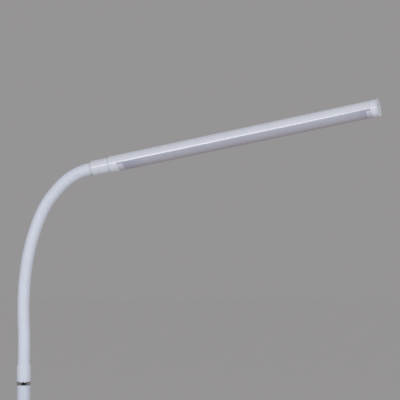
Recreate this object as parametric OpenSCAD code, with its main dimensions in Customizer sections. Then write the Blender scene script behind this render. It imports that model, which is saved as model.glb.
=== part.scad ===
// Floor lamp with a weighted round base, a three-length post, a bendable neck and a turning tube head.
// Millimetres, +Z up. The origin is on the floor on the post's axis, and the head reaches out along +X.

/* [Base] */
// Width of the round base
base_d = 240; // [232:1:270]
// Height of the base's top above the floor
base_h = 18; // [18:0.5:21]
// Radius of the base's rounded upper edge
base_edge = 5; // [3:0.5:5.5]
// Sheet thickness of the base cover
cover_wall = 1.5; // [1.2:0.1:1.6]
// Thickness of the soft pad under the base
pad_t = 2; // [1.6:0.1:2.2]
// Thickness of the bottom plate
plate_t = 1.5; // [1.3:0.1:1.7]
// Width of the collar round the post's foot
collar_d = 29; // [26:0.5:34]
// Height of the collar round the post's foot
collar_h = 6; // [4:0.5:9]

/* [Switch] */
// Width of the push button
button_d = 33.4; // [28:0.2:35]
// How far the button stands out of the base
button_rise = 2.5; // [2.2:0.1:3]
// How far the button goes in
button_travel = 2; // [1:0.1:2]
// Distance of the button from the post's axis
button_x = 72; // [66:1:76]

/* [Power inlet] */
// Height of the inlet's axis above the floor
inlet_z = 8; // [7.6:0.1:8.4]
// Width of the inlet's socket
inlet_bore_d = 5.6; // [5.4:0.1:5.8]
// Width of the inlet's centre pin
inlet_pin_d = 2; // [1.6:0.1:2.5]

/* [Post] */
// Outside width of the post's tube
post_d = 19; // [18:0.1:19.6]
// Wall of the post's tube
post_wall = 1; // [0.8:0.1:1.2]
// Height of the post's upper end
post_top = 1041; // [900:1:1200]
// Outside width of the threads that join the post
thread_d = 10; // [9:0.1:10.4]

/* [Neck] */
// Outside width of the neck's sleeve
neck_d = 17.1; // [16.4:0.1:17.6]
// Length of the neck from its swollen foot to the coupler
neck_len = 323; // [300:0.5:350]
// Width of the sleeve's bore
sleeve_bore_d = 9.8; // [9.4:0.1:10.4]
// Width of the core's bore
core_bore_d = 5.8; // [5.4:0.1:6.4]
// Width of the polished ring
ring_d = 20; // [19.4:0.1:21]
// Height of the polished ring
ring_h = 5; // [4:0.5:8]
// Width of the sleeve's swollen foot
foot_d = 19.6; // [18.8:0.1:20.2]
// Height of the swollen foot with its shoulder
foot_h = 25.5; // [20:0.5:30]
// Height of the shoulder above the swollen foot
shoulder_h = 4; // [3:0.5:6]

/* [Head] */
// Outside width of the tube head
head_d = 22.9; // [22.4:0.1:23.6]
// Length of the tube between its end caps
tube_len = 363; // [320:1:420]
// Wall of the housing and of the cover
tube_wall = 1.3; // [1.1:0.1:1.5]
// Width of the coupler
coupler_d = 21; // [20.4:0.1:22]
// Length of the coupler
coupler_len = 25.5; // [23:0.5:28]
// Width of the groove between the coupler and the near cap
groove_w = 2.4; // [2:0.1:4]
// Length of the near cap's collar
near_cap_len = 13.5; // [12:0.5:16]
// Length of the plug that the near cap has behind the cover
near_plug_len = 8.5; // [6:0.5:9]
// Length of the far cap's body
far_cap_len = 8; // [6:0.5:12]
// Length of the plug that the far cap has behind the cover
far_plug_len = 5.5; // [4:0.1:8]
// Width of the far cap's flared rim
flange_d = 24; // [23.8:0.1:25.5]
// Length of the far cap's flared rim
flange_t = 2; // [1:0.1:3]
// Number of light chips
chip_count = 40; // [20:1:44]

/* [Hidden] */
$fn = 64;
NECK_LINKS = 11;

// Clearances
press_gap = 0.05;
run_gap = 0.06;
move_gap = 0.3;
face_gap = 0.2;
// Amount by which a cutting shape runs past a face
over = 1;

// Base levels, from the floor up
plate_z = pad_t;
weight_z = plate_z + plate_t;
ceiling_z = base_h - cover_wall;
rim_z = pad_t;
standoff_h = 1;
board_z = weight_z + standoff_h;
board_t = 1.6;
board_top = board_z + board_t;
wire_d = 1.6;
wire_z = board_z + wire_d / 2;

// Base radii
cover_r = base_d / 2;
weight_r = cover_r - cover_wall - 5.5;
plate_r = cover_r - cover_wall - 3;
pad_r = plate_r - 3;
screw_count = 4;
screw_inset = 18;
screw_ring_r = weight_r - screw_inset;
screw_d = 3.6;
screw_head_d = screw_d + 2 * (plate_t - 0.2);
screw_depth = 6;

// Clamp of the post in the base
thread_bore_d = 6;
nut_z = wire_z + wire_d / 2 + move_gap;
nut_h = 5.5;
nut_af = 17;
washer_t = 1.5;
washer_d = 25;
pocket_top = nut_z + nut_h + washer_t;
stud_end_z = nut_z - face_gap;
stud_len = base_h - stud_end_z;
plug_len = 16;
socket_len = stud_len + 4;
bush_d = post_d - 2 * post_wall - 2 * press_gap;
section_len = (post_top - base_h) / 3;
tube_chamfer = 0.4;

// Push button
switch_w = 12;
switch_h = 4.3;
switch_top = board_top + switch_h;
button_flange_t = 1.6;
button_flange_top = ceiling_z - move_gap;
button_flange_z = button_flange_top - button_flange_t;
button_flange_d = button_d + 3.6;
stem_d = 6;
stem_z = switch_top + button_travel + face_gap;
plunger_d = 4;
plunger_z = board_top + button_travel + 2 * move_gap;
spring_d = 9.2;
spring_wire_d = 0.7;
spring_turns = 2.5;
button_edge = 1.2;

// Driver board, under the button
board_len = 58;
board_w = 30;
button_on_board = 34;
board_x = button_x - button_on_board;
board_room = 2;
board_pocket_top = ceiling_z - 2.5;
channel_w = 9.6;
lead_y = 3.2;
feed_y = 1.1;
// Parts on the driver board
can_inset = 7;
can_side = 8;
low_can_d = 9;
low_can_h = 5.5;
tall_can_d = 7;
tall_can_h = 6.5;
chip_inset = 15;
driver_chip = [6, 5, 1.6];
plug_inset = 4;
lead_plug = [8, 6, 3];

// Power inlet
inlet_flange_d = 9.6;
inlet_flange_t = 1.6;
inlet_barrel_d = 7.8;
inlet_len = 13;
inlet_bore_len = 9;
inlet_nut_af = 10.5;
inlet_nut_t = 2.2;
inlet_back_x = -cover_r + inlet_len;

// Neck foot
foot_z = post_top + ring_h;
neck_z = foot_z + foot_h;
barrel_d = 13.1;
barrel_h = foot_h - 6;
core_seat = 6;
core_d = sleeve_bore_d - 0.2;

// Neck curve: the lean from upright at each link's ends, in degrees, as the neck was left bent
end_link = 16;
LEAN = [0, 1.8, -3, -0.1, 4.9, 10, 17.6, 23.6, 38.3, 50.8, 72.7, 80.1];
neck_r = neck_d / 2;
mid_link = (neck_len - 2 * end_link) / (NECK_LINKS - 2);
// Each link ends in a ball-shaped face centred on its joint
ball_r = neck_r + 0.8;
ball_back = sqrt(ball_r * ball_r - neck_r * neck_r);
ball_room = ball_r - ball_back + 2;
reach = 80;

// Neck tip and coupler, along the head's axis from the coupler's open end
sleeve_seat = 9;
tip_start = sleeve_seat + face_gap;
tip_barrel_d = 13.4;
tip_barrel_len = 7.8;
core_tip = tip_start + 6;
tip_shoulder = tip_start + tip_barrel_len;
screw_x = tip_start + 3;
grub_d = 2;
// Angle of the grub screw below the coupler's side
grub_angle = 31;
coupler_round = 1.6;

// Head, along its axis from the coupler's open end
cap_x = coupler_len + groove_w;
cap_wall = 3;
cap_cavity_r = head_d / 2 - 1.5;
tube_x = cap_x + near_cap_len;
tube_end = tube_x + tube_len;
tip_end = cap_x + cap_wall + 6;
stop_t = 1.2;
stop_d = 14.4;
stop_w = 3;
stop_reach = cap_cavity_r - 0.4;
swivel_nut_af = 13;
swivel_nut_h = 4;
swivel_nut_r = swivel_nut_af / sqrt(3);
// Coupler's boss, which the near cap turns against
boss_d = 20;
// Softened edge of each cap where it meets the tube
cap_edge = 0.4;
// Plain edge of the far cap's flared rim
rim_t = 0.8;
rim_chamfer = 0.3;

// Tube section
tube_r = head_d / 2;
bore_r = tube_r - tube_wall;
web_z = 2;
web_t = 1.4;
seam_gap = 0.06;
// How far the seam between housing and cover lies below the tube's axis
seam_drop = 1;
leg_y = bore_r - 1.4;
leg_t = 1.1;
leg_top = web_z - 0.4;
board_w2 = 12;
board_t2 = 1.2;
chip_size = [3.5, 2.8, 0.7];
light_x0 = tube_x + near_plug_len + 1.5;
light_x1 = tube_end - far_plug_len - 2.2;
head_wire_r = 0.7;

white = [0.93, 0.94, 0.95];
pale = [0.86, 0.87, 0.9];
steel = [0.72, 0.73, 0.75];
dark = [0.16, 0.16, 0.17];

// Length of the neck from its foot up to the start of link k + 1
function station(k) = k == 0 ? 0 : k > NECK_LINKS - 1 ? neck_len : end_link + (k - 1) * mid_link;

// Place after an arc of length len that turns from lean a0 to lean a1, as [x, z]
function arc_step(a0, a1, len) =
  let (turn = (a1 - a0) * PI / 180)
  [len / turn * (cos(a0) - cos(a1)), len / turn * (sin(a1) - sin(a0))];

// Place of station k on the neck's centre line, as [x, z]
function station_at(k) =
  k == 0 ? [0, neck_z] : station_at(k - 1) + arc_step(LEAN[k - 1], LEAN[k], station(k) - station(k - 1));

// Lean at joint k, which lies a little below station k
function joint_lean(k) =
  LEAN[k] - (LEAN[k] - LEAN[k - 1]) * ball_back / (station(k) - station(k - 1));

// Place of joint k, as [x, z]
function joint_at(k) =
  station_at(k - 1) + arc_step(LEAN[k - 1], joint_lean(k), station(k) - station(k - 1) - ball_back);

// Ring with a bore, between two heights
module ring(d, bore, h) {
  difference() {
    cylinder(d = d, h = h);
    translate([0, 0, -over])
      cylinder(d = bore, h = h + 2 * over);
  }
}

// Flat shape from the axis to radius r, with its two outer corners rounded
module soft_profile(r, h, low_round, high_round) {
  square([r - max(low_round, high_round), h]);
  translate([0, low_round])
    square([r, h - low_round - high_round]);
  square([r - low_round, h / 2]);
  translate([0, h / 2])
    square([r - high_round, h / 2]);
  translate([r - low_round, low_round])
    circle(r = low_round);
  translate([r - high_round, h - high_round])
    circle(r = high_round);
}

// Round bar with softened end edges
module soft_bar(d, h, low_round, high_round) {
  rotate_extrude()
    intersection() {
      soft_profile(d / 2, h, low_round, high_round);
      square([d, h]);
    }
}

// Round rod from point a to point b
module rod(a, b, r) {
  v = b - a;
  translate(a)
    rotate([0, acos(v[2] / norm(v)), atan2(v[1], v[0])])
      cylinder(r = r, h = norm(v));
}

// Wound spring from z = 0 up to height h
module coil(d, wire_width, h, turns) {
  steps = round(turns * 24);
  sides = 8;
  rise = h - wire_width;
  rings = [for (i = [0:steps]) for (j = [0:sides - 1])
    let (a = 360 * turns * i / steps, b = 360 * j / sides, r = d / 2 + wire_width / 2 * cos(b))
    [r * cos(a), r * sin(a), wire_width / 2 + rise * i / steps + wire_width / 2 * sin(b)]];
  walls = [for (i = [0:steps - 1]) for (j = [0:sides - 1])
    let (p = i * sides + j, q = i * sides + (j + 1) % sides)
    each [[p, q, q + sides], [p, q + sides, p + sides]]];
  ends = [[for (j = [0:sides - 1]) sides - 1 - j], [for (j = [0:sides - 1]) steps * sides + j]];
  polyhedron(points = rings, faces = concat(walls, ends));
}

// Moves its children to the head's frame, with +X along the head's axis from the coupler's open end
module at_head() {
  p = station_at(NECK_LINKS);
  translate([p[0], 0, p[1]])
    rotate([0, LEAN[NECK_LINKS] - 90, 0])
      children();
}

// Turns its children so that their Z axis lies along the head's axis, starting at x
module along_head(x) {
  at_head()
    translate([x, 0, 0])
      rotate([0, 90, 0])
        children();
}

// Lays a flat shape across the head and draws it out along the head's axis
module head_extrude(x, len) {
  at_head()
    translate([x, 0, 0])
      rotate([90, 0, 90])
        linear_extrude(height = len)
          children();
}

// Base
module base_pad() {
  color(dark)
    cylinder(r = pad_r, h = pad_t);
}

module at_screws() {
  for (i = [0:screw_count - 1])
    rotate(45 + i * 360 / screw_count)
      translate([screw_ring_r, 0, 0])
        children();
}

module base_plate() {
  color(steel)
    difference() {
      union() {
        translate([0, 0, plate_z])
          cylinder(r = plate_r, h = plate_t);
        for (x = [board_x + 4, board_x + board_len - 4], y = [-1, 1])
          translate([x, y * (board_w / 2 - 4), plate_z])
            cylinder(d = 5, h = plate_t + standoff_h);
      }
      at_screws() {
        translate([0, 0, plate_z - over])
          cylinder(d = screw_d + 2 * press_gap, h = plate_t + 2 * over);
        translate([0, 0, plate_z - press_gap])
          cylinder(d1 = screw_head_d + 2 * press_gap, d2 = screw_d + 2 * press_gap, h = plate_t - 0.2);
      }
    }
}

module plate_screws() {
  color(steel)
    at_screws() {
      translate([0, 0, plate_z])
        cylinder(d = screw_d, h = plate_t + screw_depth - face_gap);
      translate([0, 0, plate_z])
        cylinder(d1 = screw_head_d - 2 * press_gap, d2 = screw_d, h = plate_t - 0.3);
    }
}

module base_weight() {
  pocket_x = board_x - board_room;
  color(dark)
    difference() {
      translate([0, 0, weight_z])
        cylinder(r = weight_r, h = ceiling_z - weight_z - press_gap);
      translate([0, 0, weight_z - over])
        cylinder(d = thread_d + 2 * move_gap, h = base_h);
      translate([0, 0, weight_z - over])
        cylinder(d = washer_d + 3, h = pocket_top - weight_z + over);
      translate([pocket_x, -board_w / 2 - board_room, weight_z - over])
        cube([board_len + 2 * board_room, board_w + 2 * board_room, board_pocket_top - weight_z + over]);
      translate([button_x, 0, weight_z - over])
        cylinder(d = button_flange_d + 3, h = base_h);
      translate([inlet_back_x + 8 - weight_r, -inlet_nut_af / 2 - 2, weight_z - over])
        cube([weight_r, inlet_nut_af + 4, board_pocket_top - weight_z + over]);
      translate([inlet_back_x, -channel_w / 2, weight_z - over])
        cube([pocket_x - inlet_back_x + over, channel_w, wire_z + wire_d - weight_z + over]);
      at_screws()
        translate([0, 0, weight_z - over])
          cylinder(d = screw_d + 2 * press_gap, h = screw_depth + over);
    }
}

module base_cover() {
  color(white)
    difference() {
      translate([0, 0, rim_z])
        soft_bar(base_d, base_h - rim_z, 0.4, base_edge);
      translate([0, 0, rim_z - over])
        soft_bar(base_d - 2 * cover_wall, ceiling_z - rim_z + over, 0.4, base_edge - cover_wall);
      cylinder(d = thread_d + 2 * move_gap, h = base_h + over);
      translate([button_x, 0, 0])
        cylinder(d = button_d + 2 * move_gap, h = base_h + over);
      translate([-cover_r - over, 0, inlet_z])
        rotate([0, 90, 0])
          cylinder(d = inlet_barrel_d + 2 * press_gap, h = cover_wall + 2 * over);
    }
}

module base_collar() {
  color(white)
    translate([0, 0, base_h])
      difference() {
        soft_bar(collar_d, collar_h, 0.3, 2.5);
        translate([0, 0, -over])
          cylinder(d = post_d + 2 * press_gap, h = collar_h + 2 * over);
      }
}

module post_nut() {
  color(steel)
    translate([0, 0, nut_z])
      difference() {
        cylinder(d = nut_af * 2 / sqrt(3), h = nut_h, $fn = 6);
        translate([0, 0, -over])
          cylinder(d = thread_d + 2 * press_gap, h = nut_h + 2 * over);
      }
}

module post_washer() {
  color(steel)
    translate([0, 0, nut_z + nut_h])
      ring(washer_d, thread_d + 2 * press_gap, washer_t);
}

// Push button and its switch
module switch_button() {
  color(white)
    translate([button_x, 0, 0]) {
      translate([0, 0, button_flange_z])
        soft_bar(button_d, base_h + button_rise - button_flange_z, 0.3, button_edge);
      translate([0, 0, button_flange_z])
        cylinder(d = button_flange_d, h = button_flange_t);
      translate([0, 0, stem_z])
        cylinder(d = stem_d, h = button_flange_z - stem_z + over);
    }
}

module switch_plunger() {
  color(dark)
    translate([button_x, 0, plunger_z])
      cylinder(d = plunger_d, h = stem_z - plunger_z);
}

module button_spring() {
  color(steel)
    translate([button_x, 0, switch_top])
      coil(spring_d, spring_wire_d, button_flange_z - switch_top, spring_turns);
}

module switch_body() {
  color(dark)
    translate([button_x, 0, board_top])
      difference() {
        translate([-switch_w / 2, -switch_w / 2, 0])
          cube([switch_w, switch_w, switch_h]);
        translate([0, 0, move_gap])
          cylinder(d = plunger_d + 2 * run_gap, h = switch_h);
      }
}

module driver_board() {
  color([0.1, 0.35, 0.22])
    translate([board_x, -board_w / 2, board_z])
      cube([board_len, board_w, board_t]);
}

module driver_parts() {
  color(dark) {
    translate([board_x + can_inset, can_side, board_top])
      cylinder(d = low_can_d, h = low_can_h);
    translate([board_x + can_inset, -can_side, board_top])
      cylinder(d = tall_can_d, h = tall_can_h);
    translate([board_x + chip_inset, -driver_chip[1], board_top])
      cube(driver_chip);
    translate([board_x + board_len - plug_inset - lead_plug[0], -lead_plug[1] / 2, board_top])
      cube(lead_plug);
  }
}

// Power inlet
module inlet_body() {
  color(dark)
    translate([-cover_r, 0, inlet_z])
      rotate([0, 90, 0])
        difference() {
          union() {
            translate([0, 0, -inlet_flange_t])
              cylinder(d = inlet_flange_d, h = inlet_flange_t);
            cylinder(d = inlet_barrel_d, h = inlet_len);
          }
          translate([0, 0, -inlet_flange_t - over])
            cylinder(d = inlet_bore_d, h = inlet_bore_len + over);
          cylinder(d = inlet_pin_d + 2 * press_gap, h = inlet_len - 2);
        }
}

module inlet_pin() {
  color(steel)
    translate([-cover_r, 0, inlet_z])
      rotate([0, 90, 0])
        cylinder(d = inlet_pin_d, h = inlet_len - 2);
}

module inlet_nut() {
  color(steel)
    translate([-cover_r + cover_wall + face_gap, 0, inlet_z])
      rotate([0, 90, 0])
        difference() {
          cylinder(d = inlet_nut_af * 2 / sqrt(3), h = inlet_nut_t, $fn = 6);
          translate([0, 0, -over])
            cylinder(d = inlet_barrel_d + 2 * press_gap, h = inlet_nut_t + 2 * over);
        }
}

module inlet_leads() {
  color([0.7, 0.12, 0.1])
    for (y = [-lead_y, lead_y])
      rod([inlet_back_x, y, wire_z], [board_x, y, wire_z], wire_d / 2);
}

module feed_wires() {
  bend = 1.6;
  color([0.75, 0.75, 0.78])
    for (y = [-feed_y, feed_y])
      translate([0, y, 0]) {
        rod([bend, 0, wire_z], [board_x, 0, wire_z], wire_d / 2);
        translate([bend, 0, wire_z + bend])
          rotate([90, 0, 0])
            rotate_extrude(angle = 90)
              translate([-bend, 0])
                circle(d = wire_d);
        translate([0, 0, wire_z + bend])
          cylinder(d = wire_d, h = neck_z - shoulder_h - wire_z - bend);
      }
}

// Post
module post_tube(z) {
  outer = post_d / 2;
  inner = outer - post_wall;
  color(white)
    translate([0, 0, z])
      rotate_extrude()
        polygon([
          [inner, 0],
          [outer - tube_chamfer, 0],
          [outer, tube_chamfer],
          [outer, section_len - tube_chamfer],
          [outer - tube_chamfer, section_len],
          [inner, section_len]
        ]);
}

module post_lower() {
  post_tube(base_h);
}

module post_middle() {
  post_tube(base_h + section_len);
}

module post_upper() {
  post_tube(base_h + 2 * section_len);
}

module post_sockets() {
  color(steel)
    for (i = [1:3])
      translate([0, 0, base_h + i * section_len - socket_len])
        ring(bush_d, thread_d + 2 * press_gap, socket_len);
}

module post_studs() {
  color(steel)
    for (i = [0:2])
      translate([0, 0, base_h + i * section_len])
        difference() {
          union() {
            cylinder(d = bush_d, h = plug_len);
            translate([0, 0, -stud_len])
              cylinder(d = thread_d, h = stud_len + over);
          }
          translate([0, 0, -stud_len - over])
            cylinder(d = thread_bore_d, h = stud_len + plug_len + 2 * over);
        }
}

module neck_ring() {
  color([0.8, 0.81, 0.83])
    translate([0, 0, post_top])
      difference() {
        soft_bar(ring_d, ring_h, 0.7, 0.7);
        translate([0, 0, -over])
          cylinder(d = thread_d + 2 * press_gap, h = ring_h + 2 * over);
      }
}

module neck_foot() {
  color(steel)
    translate([0, 0, foot_z])
      difference() {
        union() {
          cylinder(d = barrel_d, h = barrel_h);
          translate([0, 0, -ring_h - stud_len])
            cylinder(d = thread_d, h = ring_h + stud_len + over);
        }
        translate([0, 0, -ring_h - stud_len - over])
          cylinder(d = thread_bore_d, h = foot_h + ring_h + stud_len);
        translate([0, 0, core_seat])
          cylinder(d = core_d + 2 * press_gap, h = foot_h);
      }
}

// Neck links
// Bent bar along link k, run on past its upper end by extra
module link_bar(k, d, extra) {
  p = station_at(k - 1);
  len = station(k) - station(k - 1);
  turn = LEAN[k] - LEAN[k - 1];
  radius = len / (turn * PI / 180);
  translate([p[0], 0, p[1]])
    rotate([0, LEAN[k - 1], 0])
      translate([radius, 0, 0])
        rotate([90, 0, 0])
          rotate_extrude(angle = -turn * (len + extra) / len)
            translate([-radius, 0])
              circle(d = d);
}

// Moves its children to joint k, with +Z along the neck
module at_joint(k) {
  p = joint_at(k);
  translate([p[0], 0, p[1]])
    rotate([0, joint_lean(k), 0])
      children();
}

// All the room below joint k's ball face
module below_joint(k) {
  at_joint(k) {
    sphere(r = ball_r);
    translate([0, 0, -reach])
      cylinder(r = reach / 2, h = reach);
  }
}

// Hollow bent tube for link k, with ball-shaped ends at its joints
module link_tube(k, d, bore) {
  difference() {
    intersection() {
      link_bar(k, d, ball_room);
      below_joint(k);
    }
    link_bar(k, bore, ball_room + over);
    if (k > 1)
      at_joint(k - 1)
        sphere(r = ball_r + move_gap);
  }
}

// The last link's bar, with a slightly thinner straight tail along the head's axis
module tip_bar(d, tail) {
  link_bar(NECK_LINKS, d, 0);
  along_head(-over)
    cylinder(d = d - 2 * press_gap, h = tail + over);
}

// Hollow tube for the last link, which runs on into the coupler
module tip_tube(d, bore, tail) {
  difference() {
    tip_bar(d, tail);
    tip_bar(bore, tail + over);
    at_joint(NECK_LINKS - 1)
      sphere(r = ball_r + move_gap);
  }
}

// Straight tail that joins a link tube's lower end to the neck's foot
module sleeve_foot() {
  outer = foot_d / 2;
  translate([0, 0, foot_z])
    difference() {
      rotate_extrude()
        polygon([
          [0, 0],
          [outer - tube_chamfer, 0],
          [outer, tube_chamfer],
          [outer, foot_h - shoulder_h],
          [neck_r, foot_h],
          [0, foot_h]
        ]);
      translate([0, 0, -over])
        cylinder(d = barrel_d + 2 * press_gap, h = barrel_h + press_gap + over);
      cylinder(d = sleeve_bore_d, h = foot_h + over);
    }
}

module neck_sleeve(k) {
  color(white) {
    if (k < NECK_LINKS)
      link_tube(k, neck_d, sleeve_bore_d);
    else
      tip_tube(neck_d, sleeve_bore_d, sleeve_seat);
    if (k == 1)
      sleeve_foot();
  }
}

module neck_core(k) {
  color(steel) {
    if (k < NECK_LINKS)
      link_tube(k, core_d, core_bore_d);
    else
      tip_tube(core_d, core_bore_d, core_tip);
    if (k == 1)
      translate([0, 0, foot_z + core_seat])
        ring(core_d, core_bore_d, foot_h - core_seat);
  }
}

// Neck tip and coupler
module neck_tip() {
  color(steel)
    along_head(0)
      difference() {
        union() {
          translate([0, 0, tip_start])
            cylinder(d = tip_barrel_d, h = tip_barrel_len);
          translate([0, 0, tip_start])
            cylinder(d = thread_d, h = tip_end - tip_start);
        }
        translate([0, 0, tip_start - over])
          cylinder(d = core_d + 2 * press_gap, h = core_tip - tip_start + over);
        cylinder(d = thread_bore_d, h = tip_end + over);
      }
}

// Moves its children to the grub screw's axis, with +Z pointing out of the coupler
module at_grub() {
  at_head()
    translate([screw_x, 0, 0])
      rotate([90 + grub_angle, 0, 0])
        children();
}

module coupler() {
  color(white)
    difference() {
      along_head(0)
        difference() {
          union() {
            soft_bar(coupler_d, coupler_len, coupler_round, coupler_round - 0.6);
            translate([0, 0, coupler_len - over])
              cylinder(d = boss_d, h = over + groove_w - move_gap);
          }
          translate([0, 0, -over])
            cylinder(d = neck_d + 2 * move_gap, h = sleeve_seat + over);
          cylinder(d = tip_barrel_d + 2 * press_gap, h = tip_shoulder);
          cylinder(d = thread_d + 2 * press_gap, h = cap_x + over);
        }
      at_grub()
        cylinder(d = grub_d + 2 * press_gap, h = coupler_d);
    }
}

module coupler_screw() {
  socket_af = 0.7;
  top = coupler_d / 2 - 0.15;
  color(steel)
    at_grub()
      difference() {
        translate([0, 0, tip_barrel_d / 2 + press_gap])
          cylinder(d = grub_d, h = top - tip_barrel_d / 2 - press_gap);
        translate([0, 0, top - 1.2])
          cylinder(d = socket_af * 2 / sqrt(3), h = 1.2 + over, $fn = 6);
      }
}

module stop_washer() {
  color(steel)
    along_head(cap_x + cap_wall + move_gap)
      difference() {
        union() {
          cylinder(d = stop_d, h = stop_t);
          translate([0, -stop_w / 2, 0])
            cube([stop_reach, stop_w, stop_t]);
        }
        translate([0, 0, -over])
          cylinder(d = thread_d + 2 * press_gap, h = stop_t + 2 * over);
      }
}

module swivel_nut() {
  color(steel)
    along_head(cap_x + cap_wall + move_gap + stop_t)
      difference() {
        cylinder(r = swivel_nut_r, h = swivel_nut_h, $fn = 6);
        translate([0, 0, -over])
          cylinder(d = thread_d + 2 * press_gap, h = swivel_nut_h + 2 * over);
      }
}

// Head
// Section of a cap's plug behind the cover
module lower_plug_section() {
  intersection() {
    circle(r = bore_r - 0.1);
    translate([-leg_y + face_gap, -tube_r])
      square([2 * (leg_y - face_gap), tube_r - 0.4]);
  }
}

// Section of a cap's plug above the housing's web
module upper_plug_section() {
  intersection() {
    circle(r = bore_r - 0.1);
    translate([-tube_r, web_z + web_t + face_gap])
      square([2 * tube_r, tube_r]);
  }
}

module near_cap() {
  lug_in = swivel_nut_r + move_gap;
  color(white) {
    along_head(cap_x)
      difference() {
        soft_bar(head_d, near_cap_len, 1.2, cap_edge);
        translate([0, 0, cap_wall])
          cylinder(r = cap_cavity_r, h = near_cap_len);
        translate([0, 0, -over])
          cylinder(d = thread_d + 2 * run_gap, h = near_cap_len);
      }
    at_head()
      intersection() {
        translate([cap_x + cap_wall - over, -stop_w / 2, lug_in])
          cube([2.6 + over, stop_w, tube_r]);
        translate([cap_x, 0, 0])
          rotate([0, 90, 0])
            cylinder(r = cap_cavity_r + 0.5, h = near_cap_len);
      }
    difference() {
      union() {
        head_extrude(tube_x - over, near_plug_len + over)
          lower_plug_section();
        head_extrude(tube_x - over, near_plug_len - 2 + over)
          upper_plug_section();
      }
      along_head(cap_x)
        cylinder(r = swivel_nut_r + move_gap, h = near_cap_len + over);
    }
  }
}

module housing() {
  color(white)
    head_extrude(tube_x, tube_len) {
      difference() {
        circle(r = tube_r);
        circle(r = bore_r);
        translate([-tube_r - over, -tube_r - over])
          square([2 * (tube_r + over), tube_r + over - seam_drop]);
      }
      translate([-bore_r, web_z])
        square([2 * bore_r, web_t]);
    }
}

module diffuser() {
  color([0.62, 0.62, 0.7])
    head_extrude(tube_x, tube_len) {
      difference() {
        circle(r = tube_r);
        circle(r = bore_r);
        translate([-tube_r - over, -seam_drop - seam_gap])
          square([2 * (tube_r + over), tube_r + over + seam_drop]);
      }
      intersection() {
        circle(r = bore_r + 0.2);
        for (side = [-1, 1])
          translate([side * (leg_y + leg_t / 2) - leg_t / 2, -bore_r])
            square([leg_t, bore_r + leg_top]);
      }
    }
}

module light_board() {
  color(pale)
    at_head()
      translate([light_x0, -board_w2 / 2, web_z - board_t2])
        cube([light_x1 - light_x0, board_w2, board_t2]);
}

module light_chips() {
  margin = 8;
  pitch = (light_x1 - light_x0 - 2 * margin) / (chip_count - 1);
  color([0.95, 0.85, 0.4])
    at_head()
      for (i = [0:chip_count - 1])
        translate([
          light_x0 + margin + i * pitch - chip_size[0] / 2,
          -chip_size[1] / 2,
          web_z - board_t2 - chip_size[2]
        ])
          cube(chip_size);
}

module head_leads() {
  z = web_z - head_wire_r - press_gap;
  color([0.75, 0.75, 0.78])
    at_head()
      for (y = [-feed_y, feed_y])
        translate([tip_end - 5, y, z])
          rotate([0, 90, 0])
            cylinder(r = head_wire_r, h = light_x0 - tip_end + 5);
}

module far_cap() {
  end = far_cap_len + flange_t;
  color(white) {
    along_head(tube_end)
      difference() {
        rotate_extrude()
          polygon([
            [0, 0],
            [tube_r - cap_edge, 0],
            [tube_r, cap_edge],
            [tube_r, far_cap_len],
            [flange_d / 2, end - rim_t],
            [flange_d / 2, end - rim_chamfer],
            [flange_d / 2 - rim_chamfer, end],
            [0, end]
          ]);
        translate([0, 0, -over])
          cylinder(r = cap_cavity_r, h = far_cap_len - 1 + over);
      }
    head_extrude(tube_end - far_plug_len, far_plug_len + far_cap_len)
      lower_plug_section();
    head_extrude(tube_end - far_plug_len, far_plug_len + far_cap_len)
      upper_plug_section();
  }
}

base_pad();
base_plate();
plate_screws();
base_weight();
base_cover();
base_collar();
post_nut();
post_washer();
switch_button();
switch_plunger();
button_spring();
switch_body();
driver_board();
driver_parts();
inlet_body();
inlet_pin();
inlet_nut();
inlet_leads();
feed_wires();
post_lower();
post_middle();
post_upper();
post_sockets();
post_studs();
neck_ring();
neck_foot();
for (k = [1:NECK_LINKS])
  neck_sleeve(k);
for (k = [1:NECK_LINKS])
  neck_core(k);
neck_tip();
coupler();
coupler_screw();
stop_washer();
swivel_nut();
near_cap();
housing();
diffuser();
light_board();
light_chips();
head_leads();
far_cap();
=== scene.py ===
"""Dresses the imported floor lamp.

It adds the neck's soft skin, every finish, and a plain studio at the photograph's angle.
"""

import logging
import math
from dataclasses import dataclass, field
from enum import Enum
from typing import Any, ClassVar, Sequence, Union

import bmesh
import bpy
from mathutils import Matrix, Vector


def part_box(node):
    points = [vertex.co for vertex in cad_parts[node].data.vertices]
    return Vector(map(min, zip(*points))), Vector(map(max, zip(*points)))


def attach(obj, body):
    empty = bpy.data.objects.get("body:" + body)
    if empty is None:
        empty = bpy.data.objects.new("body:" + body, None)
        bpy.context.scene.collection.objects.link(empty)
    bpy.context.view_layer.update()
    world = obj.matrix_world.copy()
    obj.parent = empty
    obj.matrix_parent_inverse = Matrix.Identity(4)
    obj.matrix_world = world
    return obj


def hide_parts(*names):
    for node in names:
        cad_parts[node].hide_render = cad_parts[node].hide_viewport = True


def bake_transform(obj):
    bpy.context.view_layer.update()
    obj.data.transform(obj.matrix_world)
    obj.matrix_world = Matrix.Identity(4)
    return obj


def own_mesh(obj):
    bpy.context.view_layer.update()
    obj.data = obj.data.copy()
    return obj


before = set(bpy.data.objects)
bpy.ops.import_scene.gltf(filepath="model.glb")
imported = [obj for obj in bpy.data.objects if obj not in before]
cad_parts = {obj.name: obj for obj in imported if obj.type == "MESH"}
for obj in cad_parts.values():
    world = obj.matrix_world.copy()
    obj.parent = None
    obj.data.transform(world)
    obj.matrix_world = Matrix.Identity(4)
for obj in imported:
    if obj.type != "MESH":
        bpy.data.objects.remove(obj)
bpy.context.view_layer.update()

log = logging.getLogger("lamp")

Colour = tuple[float, float, float]
Span = tuple[float, float]
Feed = Union["Val", float, Sequence[float]]

UP = Vector((0.0, 0.0, 1.0))
NOISE_MEAN = 0.5


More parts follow.
